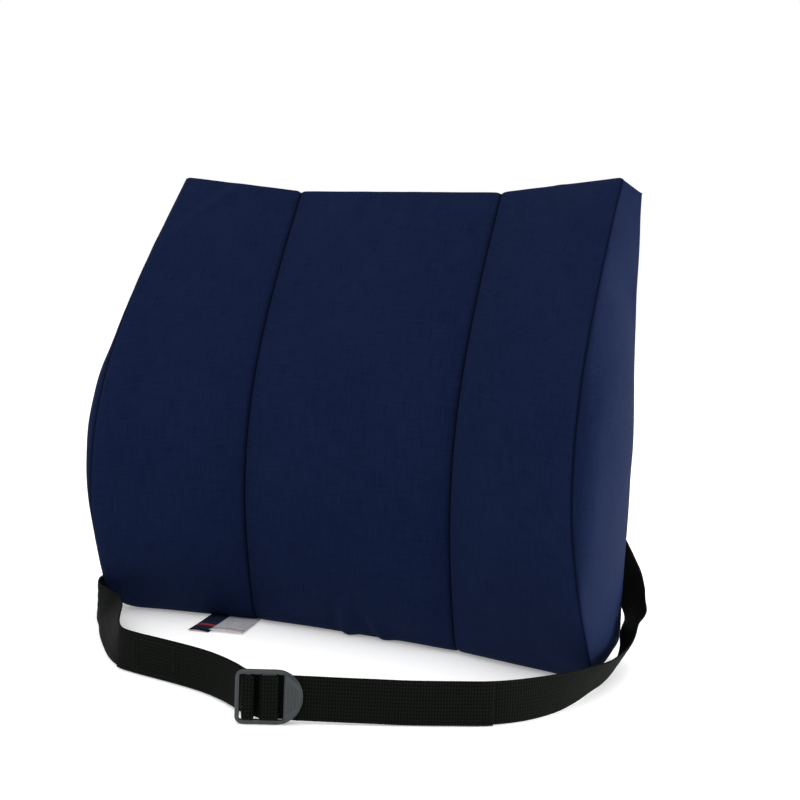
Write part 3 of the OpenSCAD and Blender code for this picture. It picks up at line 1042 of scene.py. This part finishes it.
@dataclass
class CushionForm:
    """The cushion as a bent box, in metres: across it, front to back and up it."""

    back_width: float = 0.354
    base_width: float = 0.374
    crest_width: float = 0.356
    top_width: float = 0.340
    height: float = 0.322
    top_dip: float = 0.009
    top_fall: float = 0.008
    crest: float = 0.115
    back: float = 0.035
    side_depths: tuple = (0.083, 0.121, 0.024)
    centre_depths: tuple = (0.056, 0.075, 0.008)
    bow: float = 0.010
    centre_width: float = 0.158
    seam_share: float = 0.44
    side_round: float = 0.018
    centre_round: float = 0.010
    shoulder: float = 0.014

    def swell(self, z: np.ndarray, depths: tuple) -> np.ndarray:
        """A depth that grows from the underside to the crest and falls away to the top.

        Args:
            z: heights.
            depths: the depths at the underside, the crest and the top.

        Returns:
            The depth at each height.
        """
        base, crest, top = depths
        low = base + (crest - base) * np.sin(math.pi / 2 * np.clip(z / self.crest, 0, 1))
        rest = np.clip((z - self.crest) / (self.height - self.crest), 0, 1)
        return np.where(z < self.crest, low, top + (crest - top) * np.cos(math.pi / 2 * rest))

    def tuck(self, z: np.ndarray, radius: float) -> np.ndarray:
        """How far a rounded lower edge has turned in at height z."""
        rise = radius - np.clip(z, 0, radius)
        return radius - np.sqrt(radius**2 - rise**2)

    def half_width(self, z: np.ndarray) -> np.ndarray:
        """Half of the width across the side seams.

        Args:
            z: heights.

        Returns:
            The half width at each height.
        """
        low = self.base_width + (self.crest_width - self.base_width) * z / self.crest
        rest = (z - self.crest) / (self.height - self.crest)
        high = self.crest_width + (self.top_width - self.crest_width) * rest
        wide = np.where(z < self.crest, low, high) / 2
        return wide - self.tuck(z, self.side_round)

    def point(self, a: np.ndarray, b: np.ndarray, c: np.ndarray) -> np.ndarray:
        """Points on the cushion.

        Args:
            a: across, -1 to 1; the panel seams are at plus and minus seam_share.
            b: 0 on the front to 1 on the back.
            c: 0 on the underside to 1 on the top.

        Returns:
            The points, with x, y, z last.
        """
        z = c * self.height
        w = self.half_width(z)
        seam = self.centre_width / 2
        share = np.abs(a)
        outer = seam + (share - self.seam_share) / (1 - self.seam_share) * (w - seam)
        x_front = np.sign(a) * np.where(share <= self.seam_share, share / self.seam_share * seam, outer)
        back_half = self.back_width / 2 - self.tuck(z, self.side_round)
        x_back = x_front * back_half / w
        wing = np.clip((np.abs(x_front) - seam) / (w - seam), 0, 1)
        centre = self.swell(z, self.centre_depths) - self.tuck(z, self.centre_round)
        side = self.swell(z, self.side_depths) - self.tuck(z, self.side_round)
        d = centre * (1 - wing) + side * wing
        rise = np.clip((z - self.crest) / (self.height - self.crest), 0, 1) ** 2
        y_back = self.back + self.bow * (1 - (2 * x_back / self.back_width) ** 2) * rise
        top = self.height - self.top_dip * (1 - wing)
        z_front, z_back = c * top, c * (top - self.top_fall)
        front = np.stack([x_front, self.back - d, z_front], -1)
        rear = np.stack([x_back, y_back, z_back], -1)
        solid = front * (1 - b[..., None]) + rear * b[..., None]
        full = np.sin(math.pi * np.clip((z - 0.034) / 0.226, 0, 1)) ** 1.3 * self.shoulder
        full = full * (1 - np.exp(-b * d / 0.005)) * (1 - b**3)
        solid[..., 0] += np.sign(a) * full * (share > 0.999)
        return solid


@dataclass
class Lattice:
    """The cover as one closed net over the form, which the cloth work moves."""

    form: CushionForm
    across: int = 50
    deep: int = 12
    high: int = 46
    number: dict = field(default_factory=dict)
    points: np.ndarray = None
    normals: np.ndarray = None
    piece: bpy.types.Object = None

    def seams(self) -> tuple:
        """The two columns under the front panel seams."""
        wing = int(round(self.across * (1 - self.form.seam_share) / 2))
        return wing, self.across - wing

    def lay(self) -> None:
        """Numbers the net's knots and puts them on the form."""
        knots = []
        for i in range(self.across + 1):
            for j in range(self.deep + 1):
                for k in range(self.high + 1):
                    if i in (0, self.across) or j in (0, self.deep) or k in (0, self.high):
                        self.number[(i, j, k)] = len(knots)
                        knots.append((i, j, k))
        net = np.array(knots, float)
        left, right = self.seams()
        share = self.form.seam_share
        a = np.interp(net[:, 0], [0, left, right, self.across], [-1, -share, share, 1])
        heights = np.interp(net[:, 2] / self.high, [0, 0.1, 1], [0, 0.06, 1])
        heights = np.where(net[:, 2] < 1.5, heights * 0.75, heights)
        self.points = self.form.point(a, (net[:, 1] / self.deep) ** 1.35, heights)

    def faces(self) -> list:
        """All the net's quads, facing out.

        Returns:
            The quads, as tuples of knot numbers.
        """
        nx, nd, nz = self.across, self.deep, self.high
        at = self.number
        quads = []
        for i in range(nx):
            for k in range(nz):
                quads.append((at[i, 0, k], at[i + 1, 0, k], at[i + 1, 0, k + 1], at[i, 0, k + 1]))
                quads.append((at[i, nd, k], at[i, nd, k + 1], at[i + 1, nd, k + 1], at[i + 1, nd, k]))
        for j in range(nd):
            for k in range(nz):
                quads.append((at[0, j, k], at[0, j, k + 1], at[0, j + 1, k + 1], at[0, j + 1, k]))
                quads.append((at[nx, j, k], at[nx, j + 1, k], at[nx, j + 1, k + 1], at[nx, j, k + 1]))
        for i in range(nx):
            for j in range(nd):
                quads.append((at[i, j, 0], at[i, j + 1, 0], at[i + 1, j + 1, 0], at[i + 1, j, 0]))
                quads.append((at[i, j, nz], at[i + 1, j, nz], at[i + 1, j + 1, nz], at[i, j + 1, nz]))
        return quads

    def held(self) -> list:
        """The knots that the seams hold: all edges, the panel seams and the underside.

        Returns:
            Their numbers.
        """
        left, right = self.seams()
        nx, nd, nz = self.across, self.deep, self.high
        keep = []
        for (i, j, k), n in self.number.items():
            edges = (i in (0, nx)) + (j in (0, nd)) + (k in (0, nz))
            seam = i in (left, right) and (j == 0 or k == nz)
            if edges >= 2 or seam or k == 0:
                keep.append(n)
        return keep

    def limits(self) -> np.ndarray:
        """How far each knot may swell, in metres.

        Returns:
            The limit at each knot.
        """
        caps = np.zeros(len(self.points))
        for (i, j, k), n in self.number.items():
            if i in (0, self.across):
                caps[n] = 0.004
            elif j == 0:
                caps[n] = 0.010
            elif j == self.deep:
                caps[n] = 0.0035 if k > self.high * 0.46 else 0.0002
            elif k == self.high:
                caps[n] = 0.003
            else:
                caps[n] = 0.0
        return caps

    def swell(self) -> None:
        """Blows the net up as cloth between its seams, and keeps it within its limits."""
        start = self.points.copy()
        self.piece = Cutting.mesh("cover_net", start, self.faces())
        group = self.piece.vertex_groups.new(name="seams")
        group.add(self.held(), 1.0, "REPLACE")
        cloth = self.piece.modifiers.new("cloth", "CLOTH")
        settings = cloth.settings
        settings.quality = 6
        settings.mass = 0.25
        settings.tension_stiffness = 12
        settings.compression_stiffness = 12
        settings.shear_stiffness = 4
        settings.bending_stiffness = 0.35
        settings.use_pressure = True
        settings.uniform_pressure_force = 7.0
        settings.shrink_min = -0.015
        settings.vertex_group_mass = "seams"
        settings.effector_weights.gravity = 0.0
        scene = bpy.context.scene
        for step in range(1, 21):
            scene.frame_set(step)
        shaped = self.piece.evaluated_get(bpy.context.evaluated_depsgraph_get())
        moved = np.array([v.co for v in shaped.data.vertices])
        shift = moved - start
        size = np.linalg.norm(shift, axis=1)
        caps = self.limits()
        kept = caps * np.tanh(size / np.maximum(caps, 1e-6))
        scale = np.where(size > 1e-9, kept / np.maximum(size, 1e-9), 0)
        log.info("cloth moved up to %.1f mm before its limit", size.max() * 1000)
        self.points = start + self.eased(shift * scale[:, None])
        scene.frame_set(1)

    def eased(self, shift: np.ndarray, rounds: int = 2) -> np.ndarray:
        """The cloth's movement with its smallest ripples evened out, still nil on the seams.

        Args:
            shift: each knot's movement.
            rounds: how many times it is evened.

        Returns:
            The evened movement.
        """
        quads = np.array(self.faces())
        held = self.held()
        count = np.zeros(len(shift))
        np.add.at(count, quads.ravel(), 1)
        for _ in range(rounds):
            middle = shift[quads].mean(1)
            total = np.zeros_like(shift)
            for corner in range(4):
                np.add.at(total, quads[:, corner], middle)
            shift = total / count[:, None]
            shift[held] = 0
        return shift

    def measure_normals(self) -> None:
        """Works out the net's outward direction at each knot."""
        quads = np.array(self.faces())
        p = self.points[quads]
        normal = np.cross(p[:, 2] - p[:, 0], p[:, 3] - p[:, 1])
        total = np.zeros_like(self.points)
        for corner in range(4):
            np.add.at(total, quads[:, corner], normal)
        self.normals = total / (np.linalg.norm(total, axis=1)[:, None] + 1e-12)

    def finish(self) -> None:
        """Measures the directions and clears the net's own object away."""
        self.measure_normals()
        if self.piece:
            data = self.piece.data
            bpy.data.objects.remove(self.piece)
            bpy.data.meshes.remove(data)
            self.piece = None

    def take(self, keys: list) -> tuple:
        """Points and directions of a grid of knots.

        Args:
            keys: columns of knot keys.

        Returns:
            Two arrays of shape (columns, rows, 3).
        """
        index = np.array([[self.number[key] for key in column] for column in keys])
        return self.points[index], self.normals[index]


@dataclass(frozen=True)
class Crease:
    """A soft fold in the cloth: its middle, heading, length, width and height, in metres and degrees."""

    x: float
    z: float
    heading: float
    length: float
    width: float
    height: float

    def rise(self, x: np.ndarray, z: np.ndarray) -> np.ndarray:
        """How far the cloth stands out or in at points seen from the front.

        Args:
            x: places across the cushion.
            z: heights.

        Returns:
            The height of the fold at each point.
        """
        c, s = math.cos(math.radians(self.heading)), math.sin(math.radians(self.heading))
        along = ((x - self.x) * c + (z - self.z) * s) / self.length
        off = ((z - self.z) * c - (x - self.x) * s) / self.width
        return self.height * np.exp(-(along**2)) * (np.exp(-(off**2)) - 0.7 * np.exp(-((off - 1.6) ** 2)))


@dataclass
class Cover:
    """The zipped cover: panels cut from the net, sewn along grooved seams."""

    wardrobe: Wardrobe
    lattice: Lattice
    body: str = "cushion"
    groove: float = 1.3 * MM
    groove_width: float = 1.6 * MM
    pucker: float = 0.14 * MM
    pucker_pitch: float = 8.5 * MM
    creases: tuple = (
        Crease(-0.004, 0.010, 76, 0.020, 0.005, 0.0030),
        Crease(0.020, 0.012, 104, 0.022, 0.005, 0.0026),
        Crease(-0.02, 0.300, 78, 0.016, 0.005, -0.0012),
        Crease(0.014, 0.297, 96, 0.020, 0.005, 0.0013),
        Crease(-0.140, 0.300, 48, 0.030, 0.005, 0.0015),
        Crease(0.135, 0.302, 128, 0.030, 0.005, 0.0015),
    )

    def spread(self, count: int) -> np.ndarray:
        """Shares from 0 to 1 that crowd together at both ends.

        Args:
            count: how many inner shares.

        Returns:
            The shares.
        """
        ends = np.array([0, 0.005, 0.011, 0.019, 0.03, 0.045])
        inner = np.linspace(0.065, 0.935, count)
        return np.concatenate([ends, inner, 1 - ends[::-1]])

    def panel(self, name: str, keys: list, columns: int, rows: int, sewn: tuple) -> bpy.types.Object:
        """Cuts one panel from the net.

        Args:
            name: the piece's name.
            keys: columns of knot keys that it covers.
            columns: how many inner columns to cut it into.
            rows: how many inner rows.
            sewn: which edges are seams: first column, last column, first row, last row.

        Returns:
            The panel.
        """
        points, normals = self.lattice.take(keys)
        s = self.spread(columns) * (len(keys) - 1)
        t = self.spread(rows) * (len(keys[0]) - 1)
        points, normals = (Cutting.curve_at(g, s) for g in (points, normals))
        points, normals = (
            np.swapaxes(Cutting.curve_at(np.swapaxes(g, 0, 1), t), 0, 1) for g in (points, normals)
        )
        normals /= np.linalg.norm(normals, axis=2)[..., None]
        lengths_s = self.runs(points, 0)
        lengths_t = self.runs(points, 1)
        gaps = np.full(points.shape[:2], 1.0)
        from_edges = (
            lengths_s,
            lengths_s[-1:] - lengths_s,
            lengths_t,
            lengths_t[:, -1:] - lengths_t,
        )
        for edge, gap in zip(sewn, from_edges):
            if edge:
                gaps = np.minimum(gaps, gap)
        sink = self.groove * np.exp(-((gaps / self.groove_width) ** 2))
        pucker = self.pucker * np.exp(-gaps / (7 * MM)) * np.clip(gaps / (2 * MM), 0, 1)
        wander = 1.7 * np.sin(lengths_t * 61)
        ripple = np.sin(lengths_t * math.tau / self.pucker_pitch + wander) * np.sin(lengths_s * 40 + 1)
        front = np.clip(-normals[..., 1] * 2 - 0.2, 0, 1)
        rise = sum(crease.rise(points[..., 0], points[..., 2]) for crease in self.creases) * front
        points = points + normals * (pucker * ripple - sink + rise)[..., None]
        # painted shade: a weight that is 1 on the seams and fades within about a millimetre; the cloth
        # colour darkens by it as painted shade in the seam grooves
        seam = np.exp(-((gaps / (0.9 * MM)) ** 2))
        uvs = np.stack([lengths_s, lengths_t], -1)
        n, m = points.shape[:2]
        piece = Cutting.mesh(name, points.reshape(-1, 3), Cutting.grid_faces(n, m), uvs.reshape(-1, 2))
        weight = piece.data.attributes.new("seam", "FLOAT", "POINT")
        weight.data.foreach_set("value", seam.ravel())
        piece.modifiers.new("smooth", "SUBSURF").levels = 1
        piece.modifiers["smooth"].render_levels = 1
        piece.modifiers["smooth"].boundary_smooth = "PRESERVE_CORNERS"
        return piece

    @staticmethod
    def runs(points: np.ndarray, axis: int) -> np.ndarray:
        """Lengths along one axis of a grid of points, from its start.

        Args:
            points: a grid of points.
            axis: the axis to run along.

        Returns:
            The length at each point.
        """
        steps = np.linalg.norm(np.diff(points, axis=axis), axis=2)
        pad = [(0, 0), (0, 0)]
        pad[axis] = (1, 0)
        return np.pad(np.cumsum(steps, axis=axis), pad)

    def build(self) -> list:
        """Cuts and dresses all the panels.

        Returns:
            The panels.
        """
        net = self.lattice
        left, right = net.seams()
        nx, nd, nz = net.across, net.deep, net.high

        def front(i0: int, i1: int) -> list:
            """Columns up the front and over the top."""
            up = range(nz + 1)
            over = range(1, nd + 1)
            return [[(i, 0, k) for k in up] + [(i, j, nz) for j in over] for i in range(i0, i1 + 1)]

        def rear(k0: int, k1: int) -> list:
            """Columns up the back, from the right to the left."""
            return [[(i, nd, k) for k in range(k0, k1 + 1)] for i in range(nx, -1, -1)]

        all_sewn = (True, True, True, True)
        left_side = [[(0, j, k) for k in range(nz + 1)] for j in range(nd, -1, -1)]
        right_side = [[(nx, j, k) for k in range(nz + 1)] for j in range(nd + 1)]
        under = [[(i, j, 0) for j in range(nd, -1, -1)] for i in range(nx + 1)]
        cuts = (
            ("cover_front_centre", "front_centre_panel", front(left, right), 40, 74),
            ("cover_front_left", "front_left_panel", front(0, left), 28, 74),
            ("cover_front_right", "front_right_panel", front(right, nx), 28, 74),
            ("cover_side_left", "left_gusset", left_side, 22, 64),
            ("cover_side_right", "right_gusset", right_side, 22, 64),
            ("cover_base", "base_panel", under, 60, 16),
            ("cover_back_upper", "back_panel", rear(0, nz), 70, 60),
        )
        pieces = {
            node: self.panel(name, keys, columns, rows, all_sewn)
            for node, name, keys, columns, rows in cuts
        }
        for node, piece in pieces.items():
            self.wardrobe.dress(piece, Finish.COVER)
            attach(piece, self.body)
            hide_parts(*((node, "cover_back_lower") if node == "cover_back_upper" else (node,)))
            log.info("cover: %s", piece.name)
        return list(pieces.values())


@dataclass
class FoamBlock:
    """The foam inside the cover."""

    wardrobe: Wardrobe
    form: CushionForm
    body: str = "cushion"
    ease: float = 0.0085

    def build(self) -> None:
        """Makes the block a little smaller than the cover."""
        inner = Lattice(self.form, across=30, deep=6, high=24)
        inner.lay()
        inner.measure_normals()
        points = inner.points - inner.normals * self.ease
        uvs = points[:, [0, 2]]
        piece = Cutting.mesh("foam_block", points, inner.faces(), uvs)
        self.wardrobe.dress(piece, Finish.FOAM)
        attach(piece, self.body)
        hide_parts("foam_core")
        log.info("foam block")


@dataclass
class Tags:
    """The two tags in the lower front seam."""

    wardrobe: Wardrobe
    body: str = "cushion"
    turn: float = 14.0
    label_place: tuple = ((-105, -67, 0), 15, 50)
    care_place: tuple = ((-90.5, -62.5, 0.5), 24, 46)

    def tag(
        self, name: str, place: tuple, finishes: tuple, stripe: tuple, border: float, lift: float
    ) -> bpy.types.Object:
        """A soft tag that lies where its CAD solid lies.

        Args:
            name: the piece's name.
            place: its front left corner, width and length, in millimetres.
            finishes: cloth, border and stripe finishes.
            stripe: where the stripe starts and ends along the tag, as shares.
            border: the border's width as a share of the tag.
            lift: how far its front edge curls up, in metres.

        Returns:
            The tag.
        """
        corner, width, length = place
        n, m = 25, 33
        a, b = np.meshgrid(np.linspace(0, 1, n), np.linspace(0, 1, m), indexing="ij")
        c, s = math.cos(math.radians(self.turn)), math.sin(math.radians(self.turn))
        x = (corner[0] + a * width * c - b * length * s) * MM
        y = (corner[1] + a * width * s + b * length * c) * MM
        wave = 0.6 * MM * np.sin(a * math.pi * 1.3) * (1 - b)
        z = corner[2] * MM + 0.2 * MM + lift * (1 - b) ** 3 + wave + 0.3 * MM * b
        top = np.stack([x, y, z + 0.25 * MM], -1).reshape(-1, 3)
        under = np.stack([x, y, z], -1).reshape(-1, 3)
        below = [tuple(v + n * m for v in q) for q in Cutting.grid_faces(n, m, True)]
        faces = Cutting.grid_faces(n, m) + below
        rim = [i * m for i in range(n)] + [(n - 1) * m + j for j in range(1, m)]
        rim += [i * m + m - 1 for i in range(n - 2, -1, -1)] + [j for j in range(m - 2, 0, -1)]
        faces += [(v1, v0, v0 + n * m, v1 + n * m) for v0, v1 in zip(rim, rim[1:] + rim[:1])]
        uvs = np.concatenate([np.stack([a * width * MM, b * length * MM], -1).reshape(-1, 2)] * 2)
        piece = Cutting.mesh(name, np.concatenate([top, under]), faces, uvs)
        self.wardrobe.dress(piece, *finishes)
        shares = np.concatenate([np.stack([a, b], -1).reshape(-1, 2)] * 2)
        for polygon in piece.data.polygons:
            share_a, share_b = shares[list(polygon.vertices)].mean(0)
            if stripe[0] < share_b < stripe[1]:
                polygon.material_index = 2
            elif min(share_a, 1 - share_a) < border or share_b < border:
                polygon.material_index = 1
        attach(piece, self.body)
        return piece

    def build(self) -> None:
        """Makes the dark label and the pale care tag."""
        label_cloth = (Finish.LABEL, Finish.LABEL_EDGE, Finish.LABEL_STRIPE)
        label = self.tag("woven_label", self.label_place, label_cloth, (0.3, 0.42), 0.09, 0.5 * MM)
        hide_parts("label_tag")
        satin = (Finish.CARE, Finish.CARE, Finish.LABEL_STRIPE)
        care = self.tag("satin_care_tag", self.care_place, satin, (0.12, 0.16), 0.0, 1.2 * MM)
        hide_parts("care_tag")
        log.info("tags: 2")


@dataclass
class BackFittings:
    """The zip and the two webbing anchors on the back."""

    wardrobe: Wardrobe
    body: str = "cushion"

    def tape(self, name: str, node: str) -> bpy.types.Object:
        """A woven zip tape, slightly domed, in place of its CAD solid.

        Args:
            name: the piece's name.
            node: its CAD node.

        Returns:
            The tape.
        """
        low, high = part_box(node)
        n, m = 121, 7
        a, b = np.meshgrid(np.linspace(0, 1, n), np.linspace(0, 1, m), indexing="ij")
        x = high.x + (low.x - high.x) * a
        z = low.z + (high.z - low.z) * b
        y = high.y + 1.6 * MM + 0.25 * MM * np.sin(b * math.pi) + 0.12 * MM * np.sin(a * 90)
        uvs = np.stack([x, z], -1).reshape(-1, 2)
        piece = Cutting.mesh(name, np.stack([x, y, z], -1).reshape(-1, 3), Cutting.grid_faces(n, m), uvs)
        self.wardrobe.dress(piece, Finish.TAPE)
        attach(piece, self.body)
        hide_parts(node)
        return piece

    def anchor(self, name: str, node: str) -> bpy.types.Object:
        """A sewn-down tab of webbing.

        Args:
            name: the piece's name.
            node: its CAD node.

        Returns:
            The tab.
        """
        low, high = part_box(node)
        middle = (low + high) / 2 / MM
        points = np.array([(middle.x, middle.y, z) for z in np.linspace(low.z / MM - 1.2, high.z / MM, 10)])
        strap = StrapLoop(self.wardrobe, BuckleSizes())
        piece, _ = strap.band(name, points, np.repeat([(1.0, 0.0, 0.0)], len(points), 0))
        self.wardrobe.dress(piece, Finish.WEBBING)
        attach(piece, self.body)
        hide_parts(node)
        return piece

    def tacks(self) -> bpy.types.Object:
        """Zigzag bar tacks through both tabs.

        Returns:
            The tacks, as one object.
        """
        rows = []
        for node in ("strap_anchor_left", "strap_anchor_right"):
            low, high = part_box(node)
            for height in (5.0, 20.0):
                steps = np.linspace(low.x + 2 * MM, high.x - 2 * MM, 44)
                y = high.y + 0.15 * MM
                rises = (low.z + (height + (1.1 if i % 2 else -0.4)) * MM for i in range(len(steps)))
                line = [(x, y, z) for x, z in zip(steps, rises)]
                rows.append(Cutting.tube("tack", np.array(line), 0.3 * MM))
        piece = Cutting.join("anchor_tacks", rows)
        self.wardrobe.dress(piece, Finish.THREAD)
        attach(piece, self.body)
        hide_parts("anchor_bar_tacks")
        return piece

    def build(self) -> None:
        """Makes the tapes, tabs and tacks, and dresses the zip's CAD parts."""
        self.tape("upper_zip_tape", "zip_tape_upper")
        self.tape("lower_zip_tape", "zip_tape_lower")
        self.anchor("left_anchor_tab", "strap_anchor_left")
        self.anchor("right_anchor_tab", "strap_anchor_right")
        self.tacks()
        for node in ("zip_teeth_upper", "zip_teeth_lower"):
            self.wardrobe.dress(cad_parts[node], Finish.TEETH)
        for node in ("zip_stops", "zip_slider", "zip_pull"):
            self.wardrobe.dress(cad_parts[node], Finish.METAL)
        log.info("back fittings")


def main() -> None:
    """Builds the studio, the strap, the cushion and its fittings."""
    logging.basicConfig(level=logging.INFO, format="%(name)s: %(message)s")
    studio = Studio()
    studio.set_camera()
    wardrobe = Wardrobe()
    sizes = BuckleSizes()
    StrapLoop(wardrobe, sizes).build()
    LadderBuckle(wardrobe, sizes).build()
    form = CushionForm()
    lattice = Lattice(form)
    lattice.lay()
    lattice.swell()
    lattice.finish()
    Cover(wardrobe, lattice).build()
    FoamBlock(wardrobe, form).build()
    Tags(wardrobe).build()
    BackFittings(wardrobe).build()
    studio.light()
    studio.lay_floor()


if __name__ == "__main__":
    main()
